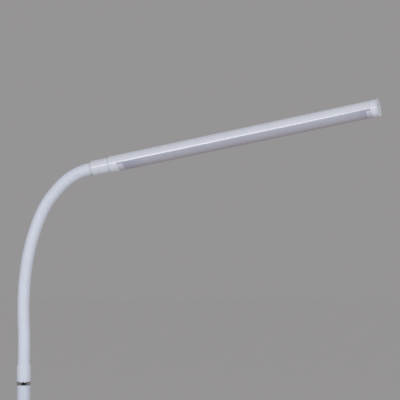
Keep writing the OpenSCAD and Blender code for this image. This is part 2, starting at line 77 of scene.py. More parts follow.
class Slot(str, Enum):
    """The record's material slots, by what they are on the lamp."""

    POWDER_COAT = "powder_coat"
    GLOSS_PLASTIC = "white_gloss_plastic"
    HOUSING_PAINT = "housing_paint"
    FROSTED_COVER = "frosted_cover"
    SLEEVE_RUBBER = "sleeve_rubber"
    CORE_STEEL = "core_steel"
    POLISHED_RING = "polished_ring"
    ZINC_STEEL = "zinc_steel"
    CAST_WEIGHT = "cast_weight"
    PAD_FOAM = "pad_foam"
    BLACK_PLASTIC = "black_plastic"
    CIRCUIT_BOARD = "circuit_board"
    LIGHT_BOARD = "light_board_white"
    LIGHT_CHIP = "light_chip"
    WIRE_SKIN = "wire_skin"


class Val:
    """A shader value: an output socket that takes Python's arithmetic and adds Math nodes for it."""

    def __init__(self, recipe: "Recipe", socket: bpy.types.NodeSocket) -> None:
        """Keeps the socket and the recipe that it belongs to."""
        self.recipe = recipe
        self.socket = socket

    def _maths(self, operation: str, first: Feed, second: Feed) -> "Val":
        """Adds one Math node on two values."""
        return self.recipe.add("ShaderNodeMath", {"operation": operation}, {0: first, 1: second})

    def __add__(self, other: Feed) -> "Val":
        """Adds a value."""
        return self._maths("ADD", self, other)

    def __radd__(self, other: Feed) -> "Val":
        """Is added to a value."""
        return self._maths("ADD", other, self)

    def __sub__(self, other: Feed) -> "Val":
        """Takes a value away."""
        return self._maths("SUBTRACT", self, other)

    def __rsub__(self, other: Feed) -> "Val":
        """Is taken away from a value."""
        return self._maths("SUBTRACT", other, self)

    def __mul__(self, other: Feed) -> "Val":
        """Multiplies by a value."""
        return self._maths("MULTIPLY", self, other)

    def __rmul__(self, other: Feed) -> "Val":
        """Is multiplied by a value."""
        return self._maths("MULTIPLY", other, self)


class Recipe:
    """A node tree that is written as Python calls."""

    def __init__(self, tree: bpy.types.NodeTree) -> None:
        """Starts from an empty tree."""
        self.tree = tree
        tree.nodes.clear()

    def add(
        self,
        kind: str,
        settings: dict[str, Any],
        values: dict[Union[str, int], Feed],
        out: Union[str, int] = 0,
    ) -> Union[Val, None]:
        """Adds a node.

        Args:
            kind: The node's type.
            settings: The node's own properties, set first.
            values: What its input sockets get, each a plain value or another node's output.
            out: The output that the caller wants.

        Returns:
            That output, or None for a node that has none.
        """
        node = self.tree.nodes.new(kind)
        for name, value in settings.items():
            setattr(node, name, value)
        for key, value in values.items():
            socket = node.inputs[key]
            if isinstance(value, Val):
                self.tree.links.new(value.socket, socket)
            elif socket.type == "RGBA":
                socket.default_value = (*value, 1.0)
            else:
                socket.default_value = value
        return Val(self, node.outputs[out]) if len(node.outputs) else None

    def place(self) -> Val:
        """Gives the point on the object, in metres."""
        return self.add("ShaderNodeTexCoord", {}, {}, "Object")

    def noise(self, place: Val, size: float, detail: float = 2.0) -> Val:
        """Gives soft noise.

        Args:
            place: Where it is read.
            size: The width of its blotches, in metres.
            detail: How many finer layers it has.

        Returns:
            A value round 0.5.
        """
        values = {"Vector": place, "Scale": 1 / size, "Detail": detail}
        return self.add("ShaderNodeTexNoise", {}, values, "Fac")

    def step(self, value: Val, low: float, high: float) -> Val:
        """Gives a soft step from 0 at low to 1 at high."""
        settings = {"interpolation_type": "SMOOTHSTEP"}
        values = {"Value": value, "From Min": low, "From Max": high, "To Min": 0.0, "To Max": 1.0}
        return self.add("ShaderNodeMapRange", settings, values)

    def mix(self, factor: Feed, first: Feed, second: Feed, way: str = "MIX") -> Val:
        """Mixes two colours.

        Args:
            factor: How much of the second colour shows.
            first: The first colour.
            second: The second colour.
            way: MIX for a plain mix, or MULTIPLY to tint the first colour by the second.

        Returns:
            The mixed colour.
        """
        settings = {"data_type": "RGBA", "clamp_factor": True, "blend_type": way}
        factor_socket, first_socket, second_socket, colour_out = 0, 6, 7, 2
        values = {factor_socket: factor, first_socket: first, second_socket: second}
        return self.add("ShaderNodeMix", settings, values, colour_out)

    def bump(self, height: Val, depth: float) -> Val:
        """Gives the normal of a surface with small relief, depth metres deep."""
        return self.add("ShaderNodeBump", {}, {"Strength": 1.0, "Distance": depth, "Height": height})

    def local(self, origin: Vector, tilt: float, stretch: Sequence[float] = (1.0, 1.0, 1.0)) -> Val:
        """Gives the point in a tilted frame.

        Args:
            origin: The frame's origin.
            tilt: Its turn about +Y, in radians.
            stretch: How many metres count as one along each of its axes.

        Returns:
            The point as a vector.
        """
        settings = {"vector_type": "TEXTURE"}
        values = {"Location": tuple(origin), "Rotation": (0.0, tilt, 0.0), "Scale": stretch}
        return self.add("ShaderNodeMapping", settings, {"Vector": self.place(), **values})

    def part(self, vector: Val, axis: str) -> Val:
        """Gives one coordinate of a vector."""
        return self.add("ShaderNodeSeparateXYZ", {}, {"Vector": vector}, axis)

    def either(self, factor: Val, first: Val, second: Val) -> Val:
        """Mixes two shaders."""
        return self.add("ShaderNodeMixShader", {}, {0: factor, 1: first, 2: second})

    def seen(self) -> Val:
        """Gives 1 where the camera looks, straight or by way of metal or glass."""
        rays = ("Is Camera Ray", "Is Glossy Ray", "Is Transmission Ray")
        camera, glossy, through = (self.add("ShaderNodeLightPath", {}, {}, ray) for ray in rays)
        return camera + glossy + through


@dataclass(frozen=True)
class Finish:
    """A surface's finish: its colour and gloss, and the relief and mottling that every real one has.

    Attributes:
        colour: The colour of its lighter places.
        roughness: The mean roughness.
        grain: The width of its fine relief, in metres.
        depth: The depth of that relief, in metres.
        shade: How dark its darker places are, as a share of the colour.
        mottle: The width of those places, in metres.
        uneven: How far the roughness strays.
        metallic: 1 for bare metal.
    """

    colour: Colour
    roughness: float
    grain: float
    depth: float
    shade: float = 0.95
    mottle: float = 0.02
    uneven: float = 0.06
    metallic: float = 0.0
    FINE_SHARE: ClassVar[float] = 0.5
    CLOUD_DETAIL: ClassVar[float] = 3.0
    CLOUD_EDGE: ClassVar[Span] = (0.35, 0.75)

    def surface(self, recipe: Recipe) -> dict[str, Feed]:
        """Gives what the shader's sockets get.

        Args:
            recipe: The material's node tree.

        Returns:
            Values by socket name.
        """
        place = recipe.place()
        grain = recipe.noise(place, self.grain)
        cloud = recipe.noise(place, self.mottle, self.CLOUD_DETAIL)
        darker = tuple(c * self.shade for c in self.colour)
        coarse = self.uneven * (cloud - NOISE_MEAN)
        fine = self.FINE_SHARE * self.uneven * (grain - NOISE_MEAN)
        return {
            "Base Color": recipe.mix(recipe.step(cloud, *self.CLOUD_EDGE), self.colour, darker),
            "Roughness": self.roughness + coarse + fine,
            "Metallic": self.metallic,
            "Normal": recipe.bump(grain, self.depth),
        }

    def shader(self, recipe: Recipe) -> Val:
        """Gives the finish as a shader."""
        return recipe.add("ShaderNodeBsdfPrincipled", {}, self.surface(recipe), "BSDF")

    def material(self, name: str) -> bpy.types.Material:
        """Builds the finish.

        Args:
            name: The material's name.

        Returns:
            The node material.
        """
        made = bpy.data.materials.new(name)
        made.use_nodes = True
        recipe = Recipe(made.node_tree)
        recipe.add("ShaderNodeOutputMaterial", {}, {"Surface": self.shader(recipe)})
        return made


@dataclass(frozen=True)
class HeadFrame:
    """The tube head's own frame: its origin is the coupler's open end, and +X runs along the tube."""

    origin: Vector = field(default_factory=lambda: Vector((0.106731, 0.0, 1.347732)))
    tilt: float = math.radians(-9.9)
    tube_start: float = 0.0414
    tube_end: float = 0.4044
    seam: float = -0.001


@dataclass(frozen=True)
class SoftRubber(Finish):
    """Silky rubber skin with a fine matt grain and a little lint."""

    sheen: float = 0.15
    sheen_roughness: float = 0.4
    lint: float = 0.0045
    lint_edge: Span = (0.03, 0.06)
    lint_shade: float = 0.86
    lint_show: float = 0.3

    def surface(self, recipe: Recipe) -> dict[str, Feed]:
        """Adds sheen and sparse lint to the plain finish.

        Args:
            recipe: The material's node tree.

        Returns:
            Values by socket name.
        """
        values = super().surface(recipe)
        cells = {"Vector": recipe.place(), "Scale": 1 / self.lint, "Randomness": 1.0}
        away = recipe.add("ShaderNodeTexVoronoi", {}, cells, "Distance")
        speck = 1 - recipe.step(away, *self.lint_edge)
        darker = tuple(c * self.lint_shade for c in self.colour)
        values["Base Color"] = recipe.mix(self.lint_show * speck, values["Base Color"], darker)
        values["Sheen Weight"] = self.sheen
        values["Sheen Roughness"] = self.sheen_roughness
        return values


@dataclass(frozen=True)
class DrawnPaint(Finish):
    """Gloss paint over a drawn tube, with faint lines along the head."""

    head: HeadFrame = field(default_factory=HeadFrame)
    line_length: float = 0.12
    line_width: float = 0.0006
    line_gloss: float = 0.08
    grain_share: float = 0.6

    def surface(self, recipe: Recipe) -> dict[str, Feed]:
        """Adds the drawing lines to the plain finish.

        Args:
            recipe: The material's node tree.

        Returns:
            Values by socket name.
        """
        values = super().surface(recipe)
        stretch = (self.line_length / self.line_width, 1.0, 1.0)
        lines = recipe.noise(recipe.local(self.head.origin, self.head.tilt, stretch), self.line_width)
        grain = recipe.noise(recipe.place(), self.grain)
        values["Roughness"] = values["Roughness"] + self.line_gloss * (lines - NOISE_MEAN)
        values["Normal"] = recipe.bump(lines + self.grain_share * grain, self.depth)
        return values


@dataclass(frozen=True)
class FrostedCover(Finish):
    """Unlit milky cover.

    The end plugs show through a little. Its colour also holds painted light: painted shade near the plugs,
    a painted shadow strip under the seam above them, a painted highlight along its upper edge,
    and painted shade that greys and warms it underneath.
    """

    head: HeadFrame = field(default_factory=HeadFrame)
    pale: Colour = (0.68, 0.68, 0.77)
    # Painted shade: the cover turns greyer and warmer towards its underside, and the plugs show less there.
    under: Colour = (0.475, 0.445, 0.495)
    painted_underside_heights: Span = (-0.0112, -0.0045)
    near_plug: float = 0.0085
    far_plug: float = 0.0055
    plug_edge: float = 0.0009
    # The plug patches start this far below the seam; the strip above them keeps the darker colour as a
    # painted seam shadow.
    plug_drop_under_painted_seam_shadow: Span = (0.0026, 0.0014)
    plug_show: float = 0.9
    plug_fade_in_painted_underside: float = 0.5
    # Painted shade near the plugs, where the dark inside of the tube would show through.
    painted_end_shade_tint: Colour = (0.866, 0.869, 0.95)
    near_fade: float = 0.04
    far_fade: float = 0.014
    # Painted highlight: a paler band along the cover's upper edge, faded towards both ends.
    painted_highlight_height: float = 0.002
    painted_highlight_show: float = 0.3
    painted_highlight_near_fade: float = 0.014
    painted_highlight_far_fade: float = 0.06

    def surface(self, recipe: Recipe) -> dict[str, Feed]:
        """Adds the plugs that show through and the painted light to the plain finish:
        painted shade near the plugs, under the seam and underneath, and a painted highlight along the upper
        edge.

        Args:
            recipe: The material's node tree.

        Returns:
            Values by socket name.
        """
        values = super().surface(recipe)
        local = recipe.local(self.head.origin, self.head.tilt)
        along, height = recipe.part(local, "X"), recipe.part(local, "Z")
        near, far = self.head.tube_start + self.near_plug, self.head.tube_end - self.far_plug
        past_near = recipe.step(along, near - self.plug_edge, near + self.plug_edge)
        past_far = recipe.step(along, far - self.plug_edge, far + self.plug_edge)
        # The plug patches stop short of the seam, leaving a painted seam shadow strip.
        plug_full, plug_top = (self.head.seam - drop for drop in self.plug_drop_under_painted_seam_shadow)
        plugs = (1 - past_near + past_far) * (1 - recipe.step(height, plug_full, plug_top))
        # Painted shade: mask of the cover's underside.
        below = 1 - recipe.step(height, *self.painted_underside_heights)
        # Painted shade mask: darker towards both plugs.
        from_near = recipe.step(along, near, near + self.near_fade)
        painted_end_shade_mask = 1 - from_near + recipe.step(along, far - self.far_fade, far)
        # Painted highlight along the upper edge, kept to the middle of the length.
        rim = recipe.step(height, self.head.seam - self.painted_highlight_height, self.head.seam)
        rim = rim * recipe.step(along, near, near + self.painted_highlight_near_fade)
        rim = rim * (1 - recipe.step(along, far - self.painted_highlight_far_fade, far))
        # Painted shade underneath, then painted shade near the plugs.
        milky = recipe.mix(below, values["Base Color"], self.under)
        milky = recipe.mix(painted_end_shade_mask, milky, self.painted_end_shade_tint, "MULTIPLY")
        # Plugs that show through, plus the painted highlight.
        plug_show_and_painted_highlight = self.plug_show * plugs * (1 - self.plug_fade_in_painted_underside * below) + self.painted_highlight_show * rim
        values["Base Color"] = recipe.mix(plug_show_and_painted_highlight, milky, self.pale)
        return values


@dataclass(frozen=True)
class PrintedBoard(Finish):
    """Lacquered circuit board with straight tracks."""

    track: Colour = (0.12, 0.34, 0.2)
    pitch: float = 0.0026
    run: float = 5.0
    track_width: float = 0.12
    track_blur: float = 0.1

    def surface(self, recipe: Recipe) -> dict[str, Feed]:
        """Adds the tracks to the plain finish.

        Args:
            recipe: The material's node tree.

        Returns:
            Values by socket name.
        """
        values = super().surface(recipe)
        board = {
            "Vector": recipe.place(),
            "Scale": 1.0,
            "Brick Width": self.run * self.pitch,
            "Row Height": self.pitch,
            "Mortar Size": self.track_width * self.pitch,
            "Mortar Smooth": self.track_blur,
        }
        tracks = recipe.add("ShaderNodeTexBrick", {}, board, "Fac")
        values["Base Color"] = recipe.mix(tracks, values["Base Color"], self.track)
        return values


class Wardrobe:
    """The lamp's finishes, each built once as a material."""

    FINISHES: dict[Slot, Finish] = {
        Slot.POWDER_COAT: Finish(
            (0.66, 0.71, 0.823),
            roughness=0.42, grain=0.0009, depth=0.00002, shade=0.985, mottle=0.012,
        ),
        Slot.GLOSS_PLASTIC: Finish(
            (0.75, 0.775, 0.86),
            roughness=0.24, grain=0.0016, depth=0.000006, shade=0.97, mottle=0.03,
        ),
        Slot.HOUSING_PAINT: DrawnPaint(
            (0.75, 0.775, 0.86),
            roughness=0.2, grain=0.0011, depth=0.000004, shade=0.97, mottle=0.03,
        ),
        Slot.FROSTED_COVER: FrostedCover(
            (0.46, 0.47, 0.565),
            roughness=0.5, grain=0.0005, depth=0.000006, shade=0.96, mottle=0.03,
        ),
        Slot.SLEEVE_RUBBER: SoftRubber(
            (0.74, 0.785, 0.9),
            roughness=0.6, grain=0.0006, depth=0.000004, shade=0.975, mottle=0.02,
        ),
        Slot.CORE_STEEL: Finish(
            (0.5, 0.5, 0.52),
            roughness=0.38, grain=0.0012, depth=0.00002, shade=0.85, mottle=0.01, uneven=0.12, metallic=1.0,
        ),
        Slot.POLISHED_RING: Finish(
            (0.53, 0.535, 0.555),
            roughness=0.07, grain=0.004, depth=0.000002, shade=0.94, mottle=0.006, uneven=0.05, metallic=1.0,
        ),
        Slot.ZINC_STEEL: Finish(
            (0.62, 0.63, 0.65),
            roughness=0.33, grain=0.0015, depth=0.00002, shade=0.82, mottle=0.006, uneven=0.14, metallic=1.0,
        ),
        Slot.CAST_WEIGHT: Finish(
            (0.09, 0.09, 0.095),
            roughness=0.72, grain=0.0012, depth=0.00012, shade=0.75, mottle=0.02, uneven=0.12,
        ),
        Slot.PAD_FOAM: Finish(
            (0.035, 0.035, 0.037),
            roughness=0.9, grain=0.0007, depth=0.0001, shade=0.7, mottle=0.004, uneven=0.08,
        ),
        Slot.BLACK_PLASTIC: Finish(
            (0.022, 0.022, 0.024),
            roughness=0.45, grain=0.0004, depth=0.00002, shade=0.8, mottle=0.01, uneven=0.1,
        ),
        Slot.CIRCUIT_BOARD: PrintedBoard(
            (0.02, 0.16, 0.08),
            roughness=0.35, grain=0.0008, depth=0.00001, shade=0.85, mottle=0.008,
        ),
        Slot.LIGHT_BOARD: Finish(
            (0.78, 0.79, 0.8),
            roughness=0.4, grain=0.0008, depth=0.00001, shade=0.96, mottle=0.01,
        ),
        Slot.LIGHT_CHIP: Finish(
            (0.85, 0.68, 0.16),
            roughness=0.5, grain=0.0003, depth=0.00001, shade=0.9, mottle=0.002,
        ),
        Slot.WIRE_SKIN: Finish(
            (0.4, 0.05, 0.04),
            roughness=0.45, grain=0.0006, depth=0.00001, shade=0.88, mottle=0.006,
        ),
    }

    def __init__(self) -> None:
        """Builds every finish."""
        self.materials = {slot: finish.material(slot.value) for slot, finish in self.FINISHES.items()}

    def dress(self, node: str, slot: Slot) -> None:
        """Gives a CAD node a finish.

        Args:
            node: The node's name.
            slot: The finish.
        """
        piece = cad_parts[node]
        piece.data.materials.clear()
        piece.data.materials.append(self.materials[slot])
        log.info("%s: %s", node, slot.value)

    def dress_all(self, slots: dict[Slot, tuple[str, ...]]) -> None:
        """Gives CAD nodes their finishes.

        Args:
            slots: The nodes' names, by finish.
        """
        for slot, nodes in slots.items():
            for node in nodes:
                self.dress(node, slot)

    def dress_piece(self, piece: bpy.types.Object, slot: Slot) -> None:
        """Gives a new piece a finish and names its slot."""
        piece.data.materials.append(self.materials[slot])
        log.info("%s: %s, new piece", piece.name, slot.value)


def lean_across(lean: float) -> Vector:
    """Gives the direction across a tube that leans towards +X, in the plane that it leans in."""
    return Vector((math.cos(lean), 0.0, -math.sin(lean)))


def lean_along(lean: float) -> Vector:
    """Gives the direction along a tube that leans towards +X."""
    return Vector((math.sin(lean), 0.0, math.cos(lean)))


def on_circle(turn: float) -> Vector:
    """Gives the point at a turn on a flat circle of radius 1."""
    return Vector((math.cos(turn), math.sin(turn), 0.0))


class TubeMesh:
    """A closed round tube that is built ring by ring, with crisp end faces."""

    def __init__(self, sides: int) -> None:
        """Starts an empty mesh.

        Args:
            sides: How many points each ring has.
        """
        self.sides = sides
        self.mesh = bmesh.new()
        self.walls: list[list[list[bmesh.types.BMVert]]] = [[], []]

    def ring(self, centre: Vector, lean: float, outer: float, inner: float) -> None:
        """Adds an outer and an inner ring across the tube.

        Args:
            centre: The rings' centre.
            lean: The tube's lean from upright towards +X there, in radians.
            outer: The outer ring's radius.
            inner: The inner ring's radius.
        """
        across = lean_across(lean)
        for wall, radius in zip(self.walls, (outer, inner)):
            turns = (2 * math.pi * index / self.sides for index in range(self.sides))
            spokes = (across * math.cos(a) + Vector((0.0, math.sin(a), 0.0)) for a in turns)
            wall.append([self.mesh.verts.new(centre + spoke * radius) for spoke in spokes])

    def piece(self, name: str) -> bpy.types.Object:
        """Closes the tube.

        Args:
            name: The piece's name.

        Returns:
            The object, linked to the scene.
        """
        outer, inner = self.walls
        inside = inner[::-1]
        loop = [*outer, *inside, outer[0]]
        for low, high in zip(loop, loop[1:]):
            for index in range(self.sides):
                after = (index + 1) % self.sides
                self.mesh.faces.new((low[index], low[after], high[after], high[index])).smooth = True
        for rim in (outer[0], outer[-1], inner[0], inner[-1]):
            for index in range(self.sides):
                self.mesh.edges.get((rim[index], rim[(index + 1) % self.sides])).smooth = False
        bmesh.ops.recalc_face_normals(self.mesh, faces=self.mesh.faces)
        return link_mesh(self.mesh, name)


def add_bar(mesh: bmesh.types.BMesh, rows: Sequence[Sequence[Vector]], smooth: bool = False) -> None:
    """Adds a closed bar to a mesh.

    Args:
        mesh: The mesh.
        rows: The bar's cross sections, each a ring of points.
        smooth: Whether its sides are shaded smooth.
    """
    rings = [[mesh.verts.new(point) for point in row] for row in rows]
    for low, high in zip(rings, rings[1:]):
        for index in range(len(low)):
            after = (index + 1) % len(low)
            mesh.faces.new((low[index], low[after], high[after], high[index])).smooth = smooth
    mesh.faces.new(rings[0])
    mesh.faces.new(rings[-1])


def link_mesh(mesh: bmesh.types.BMesh, name: str) -> bpy.types.Object:
    """Turns a finished bmesh into a piece.

    Args:
        mesh: The bmesh, which is freed.
        name: The piece's name.

    Returns:
        The object, linked to the scene.
    """
    data = bpy.data.meshes.new(name)
    mesh.to_mesh(data)
    mesh.free()
    piece = bpy.data.objects.new(name, data)
    bpy.context.scene.collection.objects.link(piece)
    return piece


@dataclass
class Neck:
    """The bendable neck: one rubber skin in lengths that each span one joint, over a jointed core."""

    wardrobe: Wardrobe
    leans: tuple[float, ...] = (0.0, 1.8, -3.0, -0.1, 4.9, 10.0, 17.6, 23.6, 38.3, 50.8, 72.7, 80.1)
    length: float = 0.323
    end_link: float = 0.016
    ball_back: float = 0.003784
    foot_z: float = 1.046
    foot_height: float = 0.0255
    shoulder: float = 0.004
    shoulder_lead: float = 0.001
    foot_radius: float = 0.0098
    foot_edge: float = 0.0007
    foot_rings: tuple[float, ...] = (0.0, 0.00005, 0.0002, 0.0004, 0.0007)
    radius: float = 0.00855
    barrel_radius: float = 0.00665
    barrel_height: float = 0.02
    bore_radius: float = 0.0056
    seat: float = 0.009
    first_reach: float = 0.0114
    last_reach: float = 0.01625
    sides: int = 64
    spacing: float = 0.0012
    hair: float = 1e-5

    @property
    def joints(self) -> int:
        """How many joints the neck has."""
        return len(self.leans) - 2

    def station(self, index: int) -> float:
        """Gives a link end's distance along the neck."""
        if index == 0:
            return 0.0
        if index > self.joints:
            return self.length
        return self.end_link + (index - 1) * (self.length - 2 * self.end_link) / (self.joints - 1)

    def joint(self, number: int) -> float:
        """Gives a joint's distance along the neck."""
        return self.station(number) - self.ball_back

    def centre(self, along: float) -> tuple[Vector, float]:
        """Follows the neck's centre line, which goes on straight past both ends.

        Args:
            along: The distance from the swollen foot's top.

        Returns:
            The place and the lean from upright, in radians.
        """
        place = UP * (self.foot_z + self.foot_height)
        if along <= 0:
            return place + UP * along, 0.0
        for index in range(len(self.leans) - 1):
            start, end = self.station(index), self.station(index + 1)
            first, last = (math.radians(self.leans[i]) for i in (index, index + 1))
            span = min(along, end) - start
            turned = first + (last - first) * span / (end - start)
            bend = (end - start) / (last - first)
            over = bend * (math.cos(first) - math.cos(turned))
            rise = bend * (math.sin(turned) - math.sin(first))
            place = place + Vector((over, 0.0, rise))
            if along <= end:
                return place, turned
        lean = math.radians(self.leans[-1])
        return place + (along - self.length) * lean_along(lean), lean

    def profile(self, along: float) -> tuple[float, float]:
        """Gives the skin's outer and inner radius: a swollen foot with soft edges, then a plain tube.

        Args:
            along: The distance from the swollen foot's top.

        Returns:
            The outer and the inner radius.
        """
        height = along + self.foot_height
        inner = self.barrel_radius if height < self.barrel_height else self.bore_radius
        if along >= 0:
            return self.radius, inner
        fall = min(1.0, -along / self.shoulder)
        outer = self.radius + (self.foot_radius - self.radius) * fall * fall * (3 - 2 * fall)
        if height < self.foot_edge:
            outer -= self.foot_edge - math.sqrt(self.foot_edge**2 - (self.foot_edge - height) ** 2)
        return outer, inner

    def length_of_skin(self, name: str, places: Sequence[float]) -> bpy.types.Object:
        """Builds one length of the skin.

        Args:
            name: The piece's name.
            places: Distances along the neck at which it has rings.

        Returns:
            The piece.
        """
        tube = TubeMesh(self.sides)
        for along in places:
            tube.ring(*self.centre(along), *self.profile(along))
        return tube.piece(name)

    def between(self, low: float, high: float) -> list[float]:
        """Gives evenly spaced distances from low to high."""
        count = math.ceil((high - low) / self.spacing)
        return [low + (high - low) * index / count for index in range(count + 1)]

    def bending_length(self, number: int, low: float, high: float) -> bpy.types.Object:
        """Builds the length of skin that spans one joint.

        Args:
            number: The joint's number, from the foot up.
            low: Where it starts along the neck.
            high: Where it ends.

        Returns:
            The piece, blended between the joint's two bodies.
        """
        piece = self.length_of_skin(f"neck_skin_{number}", self.between(low, high))
        (start, first), (end, last) = self.centre(low), self.centre(high)
        chord = (end - start).normalized()
        tilts = (self.radius * abs(chord.dot(lean_across(lean))) for lean in (first, last))
        low_slack, high_slack = (tilt + self.hair for tilt in tilts)
        start + chord * low_slack
        end - chord * high_slack
        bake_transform(piece)
        return piece

    def build(self) -> None:
        """Builds the skin in place of the CAD sleeves, and dresses the rest of the neck."""
        seams = [self.joint(1) - self.first_reach]
        seams += [(self.joint(k) + self.joint(k + 1)) / 2 for k in range(1, self.joints)]
        seams += [self.joint(self.joints) + self.last_reach]
        heights = [*self.foot_rings, self.barrel_height - self.hair, self.barrel_height]
        shoulder = self.between(-self.shoulder - self.shoulder_lead, seams[0])
        foot = self.length_of_skin("neck_skin_foot", [h - self.foot_height for h in heights] + shoulder)
        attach(foot, "stand")
        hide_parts("neck_sleeve_1")
        pieces = [foot]
        for number in range(1, self.joints + 1):
            piece = self.bending_length(number, seams[number - 1], seams[number])
            if number > 1:
                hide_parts(f"neck_sleeve_{number}")
            pieces.append(piece)
        tip = self.length_of_skin("neck_skin_tip", self.between(seams[-1], self.length + self.seat))
        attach(tip, f"neck_{self.joints + 1}")
        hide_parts(f"neck_sleeve_{self.joints}", f"neck_sleeve_{self.joints + 1}")
        for piece in [*pieces, tip]:
            self.wardrobe.dress_piece(piece, Slot.SLEEVE_RUBBER)
        cores = tuple(f"neck_core_{number}" for number in range(1, self.joints + 2))
        fittings = ("neck_foot", "neck_tip")
        slots = {Slot.CORE_STEEL: cores, Slot.POLISHED_RING: ("neck_ring",), Slot.ZINC_STEEL: fittings}
        self.wardrobe.dress_all(slots)


@dataclass
class Base:
    """The weighted base with its foot switch, driver board and power inlet."""

    wardrobe: Wardrobe
    mark_radius: float = 0.0046
    mark_line: float = 0.0007
    mark_rise: float = 0.00012
    mark_opening: float = math.radians(36)
    mark_steps: int = 48
    mark_bar: tuple[float, ...] = (0.25, 0.6, 0.95, 1.25)
    mark_section: tuple[Span, ...] = (
        (-0.5, -0.5),
        (-0.42, 0.6),
        (-0.2, 1.0),
        (0.2, 1.0),
        (0.42, 0.6),
        (0.5, -0.5),
    )
    spring_wire: float = 0.0007
    spring_turns: float = 2.5
    spring_flat: float = 1.2
    spring_steps: int = 48
    wire_sides: int = 12
    button_travel: float = 0.002

    def power_mark(self) -> bpy.types.Object:
        """Builds the raised power sign on the foot switch, an open ring and a bar.

        Returns:
            The piece, on the button.
        """
        low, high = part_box("switch_button")
        centre = Vector(((low.x + high.x) / 2, (low.y + high.y) / 2, high.z))
        mesh = bmesh.new()
        sweep = 2 * math.pi - 2 * self.mark_opening
        shares = (index / self.mark_steps for index in range(self.mark_steps + 1))
        arc = [on_circle(self.mark_opening + sweep * share) for share in shares]
        self.raised_line(mesh, [centre + p * self.mark_radius for p in arc], arc)
        side = Vector((0.0, 1.0, 0.0))
        bar = [centre + Vector((self.mark_radius * share, 0.0, 0.0)) for share in self.mark_bar]
        self.raised_line(mesh, bar, [side] * len(bar))
        bmesh.ops.recalc_face_normals(mesh, faces=mesh.faces)
        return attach(link_mesh(mesh, "switch_mark"), "button")

    def raised_line(self, mesh: bmesh.types.BMesh, path: Sequence[Vector], sides: Sequence[Vector]) -> None:
        """Adds a low rounded line to a mesh.

        Args:
            mesh: The mesh.
            path: The points that the line follows.
            sides: The sideways direction at each point.
        """
        offsets = [(x * self.mark_line, z * self.mark_rise) for x, z in self.mark_section]
        rows = [[point + side * x + UP * z for x, z in offsets] for point, side in zip(path, sides)]
        add_bar(mesh, rows)

    def return_spring(self) -> bpy.types.Object:
        """Builds the button's return spring in round wire, with ends that lie flat on their seats.

        Returns:
            The piece, on the stand.
        """
        low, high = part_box("button_spring")
        centre, height = (low + high) / 2, high.z - low.z
        radius, half = (high.x - low.x - self.spring_wire) / 2, self.spring_wire / 2
        mesh = bmesh.new()
        steps = round(self.spring_steps * self.spring_turns)
        section = [2 * math.pi * step / self.wire_sides for step in range(self.wire_sides)]
        rows = []
        for index in range(steps + 1):
            share = index / steps
            outward = on_circle(2 * math.pi * self.spring_turns * share)
            climb = share + self.spring_flat * share * (share - 0.5) * (1 - share)
            rise = half + (height - self.spring_wire) * climb
            wire = Vector((centre.x, centre.y, low.z + rise)) + outward * radius
            rows.append([wire + half * (outward * math.cos(b) + UP * math.sin(b)) for b in section])
        add_bar(mesh, rows, smooth=True)
        bmesh.ops.recalc_face_normals(mesh, faces=mesh.faces)
        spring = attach(link_mesh(mesh, "return_spring"), "stand")
        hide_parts("button_spring")
        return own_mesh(spring)

    def build(self) -> None:
        """Dresses the base's nodes and adds the switch's sign and its return spring."""
        slots = {
            Slot.POWDER_COAT: ("base_cover",),
            Slot.GLOSS_PLASTIC: ("base_collar", "switch_button"),
            Slot.PAD_FOAM: ("base_pad",),
            Slot.CAST_WEIGHT: ("base_weight",),
            Slot.ZINC_STEEL: (
                "base_plate",
                "plate_screws",
                "post_nut",
                "post_washer",
                "inlet_nut",
                "inlet_pin",
            ),
            Slot.BLACK_PLASTIC: ("switch_body", "switch_plunger", "inlet_body", "driver_parts"),
            Slot.CIRCUIT_BOARD: ("driver_board",),
            Slot.WIRE_SKIN: ("inlet_leads", "feed_wires"),
        }
        self.wardrobe.dress_all(slots)
        self.wardrobe.dress_piece(self.power_mark(), Slot.BLACK_PLASTIC)
        self.wardrobe.dress_piece(self.return_spring(), Slot.ZINC_STEEL)


@dataclass
class Post:
    """The post's three lengths of tube and the threads that join them."""

    wardrobe: Wardrobe

    def build(self) -> None:
        """Dresses the post's nodes."""
        tubes, threads = ("post_lower", "post_middle", "post_upper"), ("post_sockets", "post_studs")
        self.wardrobe.dress_all({Slot.POWDER_COAT: tubes, Slot.ZINC_STEEL: threads})


@dataclass
class Head:
    """The tube head with its coupler, caps, cover and light board."""

    wardrobe: Wardrobe

    def build(self) -> None:
        """Dresses the head's nodes."""
        slots = {
            Slot.GLOSS_PLASTIC: ("coupler", "near_cap", "far_cap"),
            Slot.HOUSING_PAINT: ("housing",),
            Slot.FROSTED_COVER: ("diffuser",),
            Slot.POWDER_COAT: ("coupler_screw",),
            Slot.ZINC_STEEL: ("stop_washer", "swivel_nut"),
            Slot.LIGHT_BOARD: ("light_board",),
            Slot.LIGHT_CHIP: ("light_chips",),
            Slot.WIRE_SKIN: ("head_leads",),
        }
        self.wardrobe.dress_all(slots)


@dataclass(frozen=True)
class DarkCard(Finish):
    """A card that fades from dark in its middle to the backdrop's tone at its ends."""

    tone: Colour = (0.3, 0.3, 0.3)
    inner: float = 0.3
    outer: float = 2.0

    def surface(self, recipe: Recipe) -> dict[str, Feed]:
        """Gives a card that shows its own tone in any light.

        Args:
            recipe: The material's node tree.

        Returns:
            Values by socket name.
        """
        across = recipe.part(recipe.place(), "X")
        fade = recipe.step(across * across, self.inner**2, self.outer**2)
        return {
            "Base Color": (0.0, 0.0, 0.0),
            "Roughness": self.roughness,
            "Specular IOR Level": 0.0,
            "Emission Color": recipe.mix(fade, self.colour, self.tone),
            "Emission Strength": 1.0,
        }


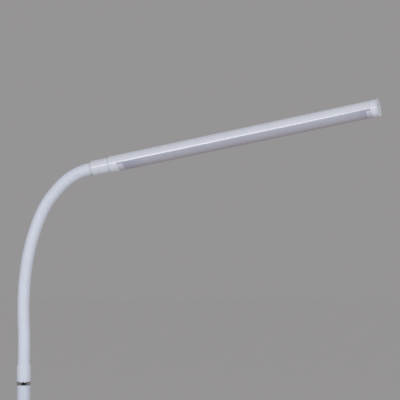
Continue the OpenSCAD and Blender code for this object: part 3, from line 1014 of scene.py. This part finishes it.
@dataclass(frozen=True)
class StageFloor(Finish):
    """A plain floor that the camera sees as pale as the backdrop, and that keeps shadows."""

    bounce: Colour = (0.5, 0.5, 0.5)

    def shader(self, recipe: Recipe) -> Val:
        """Mixes the pale floor that is seen with the one that lights the lamp from below."""
        matt = {"Base Color": self.bounce, "Roughness": 1.0}
        under = recipe.add("ShaderNodeBsdfPrincipled", {}, matt, "BSDF")
        return recipe.either(recipe.seen(), under, super().shader(recipe))


@dataclass(frozen=True)
class Softbox:
    """A soft studio light."""

    name: str
    place: Vector
    width: float
    height: float
    power: float
    mirrored: bool = True

    def build(self, aim: Vector) -> None:
        """Sets up the light, turned towards a point."""
        lamp = bpy.data.lights.new(self.name, "AREA")
        lamp.shape = "RECTANGLE"
        lamp.size, lamp.size_y = self.width, self.height
        lamp.energy = self.power
        stand = bpy.data.objects.new(self.name, lamp)
        stand.location = self.place
        stand.rotation_euler = (aim - self.place).to_track_quat("-Z", "Y").to_euler()
        stand.visible_camera = False
        stand.visible_glossy = self.mirrored
        bpy.context.scene.collection.objects.link(stand)


@dataclass
class Studio:
    """The camera at the photograph's angle, soft light, a plain floor and a plain backdrop tone."""

    eye: Vector = field(default_factory=lambda: Vector((0.8953, -1.7263, 1.237)))
    azimuth: float = math.radians(20.0)
    pitch: float = math.radians(2.0)
    focal: float = 1350.0
    image: float = 400.0
    wall: Colour = (0.305, 0.297, 0.301)
    ambient: float = 0.37
    floor_bounce: Colour = (0.52, 0.52, 0.52)
    floor_radius: float = 30.0
    floor_sides: int = 96
    card_tone: Colour = (0.012, 0.013, 0.017)
    card_azimuth: float = math.radians(29)
    card_radius: float = 3.0
    card_sweep: float = math.radians(64)
    card_foot: float = 0.1
    card_top: float = 0.98
    card_dark: float = 0.26
    card_steps: int = 32
    aim: Vector = field(default_factory=lambda: Vector((0.25, 0.0, 1.3)))

    def camera(self) -> None:
        """Places the camera."""
        data = bpy.data.cameras.new("camera")
        data.lens = data.sensor_width * self.focal / self.image
        body = bpy.data.objects.new("camera", data)
        ahead = Vector((
            -math.sin(self.azimuth) * math.cos(self.pitch),
            math.cos(self.azimuth) * math.cos(self.pitch),
            math.sin(self.pitch),
        ))
        body.location = self.eye
        body.rotation_euler = ahead.to_track_quat("-Z", "Y").to_euler()
        bpy.context.scene.collection.objects.link(body)
        bpy.context.scene.camera = body

    def world(self) -> None:
        """Sets the surrounding light and the tone that the camera and shiny surfaces see."""
        world = bpy.data.worlds.new("studio")
        world.use_nodes = True
        recipe = Recipe(world.node_tree)
        white = (1.0, 1.0, 1.0)
        light = recipe.add("ShaderNodeBackground", {}, {"Color": white, "Strength": self.ambient})
        tone = recipe.add("ShaderNodeBackground", {}, {"Color": self.wall, "Strength": 1.0})
        recipe.add("ShaderNodeOutputWorld", {}, {"Surface": recipe.either(recipe.seen(), light, tone)})
        bpy.context.scene.world = world

    def floor(self) -> None:
        """Lays the floor."""
        mesh = bmesh.new()
        bmesh.ops.create_circle(mesh, cap_ends=True, segments=self.floor_sides, radius=self.floor_radius)
        floor = link_mesh(mesh, "floor")
        pale = tuple(c / self.ambient for c in self.wall)
        grain = {"grain": 0.02, "depth": 0.0001, "shade": 0.99, "mottle": 0.3}
        finish = StageFloor(pale, roughness=0.8, bounce=self.floor_bounce, **grain)
        floor.data.materials.append(finish.material("floor"))

    def card(self) -> None:
        """Hangs a dark curved card behind the camera, which only polished surfaces see."""
        mesh = bmesh.new()
        turns = [self.card_sweep * (2 * index / self.card_steps - 1) for index in range(self.card_steps + 1)]
        feet = [Vector((math.sin(a), -math.cos(a), 0.0)) * self.card_radius for a in turns]
        low, high = ([mesh.verts.new(p + UP * z) for p in feet] for z in (self.card_foot, self.card_top))
        for index in range(self.card_steps):
            mesh.faces.new((low[index], low[index + 1], high[index + 1], high[index]))
        card = link_mesh(mesh, "dark_card")
        card.rotation_euler = (0.0, 0.0, self.card_azimuth)
        reach = self.card_radius * math.sin(self.card_sweep)
        fade = {"tone": self.wall, "inner": self.card_dark * reach, "outer": reach}
        finish = DarkCard(self.card_tone, roughness=1.0, grain=0.01, depth=0.0, **fade)
        card.data.materials.append(finish.material("dark_card"))
        card.visible_camera = card.visible_diffuse = False
        card.visible_shadow = card.visible_transmission = False

    def build(self) -> None:
        """Sets the camera, the light and the stage."""
        self.camera()
        self.world()
        self.floor()
        self.card()
        key = Softbox("key_light", Vector((-0.44, -2.16, 1.42)), width=0.8, height=0.6, power=13.7)
        fill = Softbox("fill_light", Vector((1.87, -1.62, 1.42)), width=0.9, height=0.6, power=18.1)
        unseen = {"mirrored": False}
        back = Softbox("back_light", Vector((-0.4, 2.6, 1.4)), width=1.2, height=0.9, power=8.0, **unseen)
        end = Softbox("end_light", Vector((3.0, 1.2, 1.5)), width=1.0, height=1.0, power=5.3, **unseen)
        for light in (key, fill, back, end):
            light.build(self.aim)
        bpy.context.scene.view_settings.view_transform = "Standard"


def main() -> None:
    """Builds the studio, then the lamp from its base to its head."""
    logging.basicConfig(level=logging.INFO, format="%(name)s %(message)s")
    Studio().build()
    wardrobe = Wardrobe()
    for part in (Base(wardrobe), Post(wardrobe), Neck(wardrobe), Head(wardrobe)):
        part.build()


if __name__ == "__main__":
    main()
